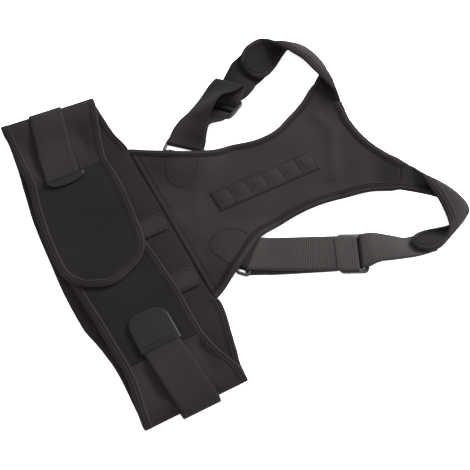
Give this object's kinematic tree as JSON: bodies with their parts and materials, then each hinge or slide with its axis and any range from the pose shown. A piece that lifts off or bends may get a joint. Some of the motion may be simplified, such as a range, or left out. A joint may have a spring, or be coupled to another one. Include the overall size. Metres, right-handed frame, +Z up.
{
  "type": "posture corrector",
  "caption": "Soft posture corrector lying flat, inner side up: padded back panel with magnet strip, shoulder straps looped through rings, and a wide waist belt with its wings folded in.",
  "frame": {"origin": "on the surface it lies on, under the line of the spine, in the middle of the back panel", "axes": "+Y along the spine towards the neck, +X along the belt, +Z up out of the surface, inner side up"},
  "size_m": [0.376, 0.3981, 0.0356],
  "materials": {
    "neoprene": "matte knit face over foam",
    "pile": "matte short pile",
    "elastic": "matte twill weave",
    "leatherette": "fine grain, low sheen",
    "webbing": "ribbed weave, slight sheen",
    "wire": "grey, satin",
    "plastic": "moulded, satin"
  },
  "bodies": {
    "root": {"back_panel": "neoprene", "belt_back": "neoprene", "magnet_strip": "neoprene", "stay_pocket_inner": "neoprene", "stay_pocket_outer": "neoprene", "shoulder_strap_left": "neoprene", "shoulder_strap_right": "neoprene", "side_wing_left": "neoprene", "side_wing_right": "neoprene", "closure_flap": "pile", "loop_panel": "pile", "pull_strap_left": "elastic", "pull_strap_right": "elastic", "pull_tab_left": "leatherette", "pull_tab_right": "leatherette", "webbing_left": "webbing", "webbing_right": "webbing", "ring_tab_left": "webbing", "ring_tab_right": "webbing", "ring_left": "wire", "ring_right": "wire", "slide_buckle_left": "plastic", "slide_buckle_right": "plastic"}
  },
  "joints": []
}
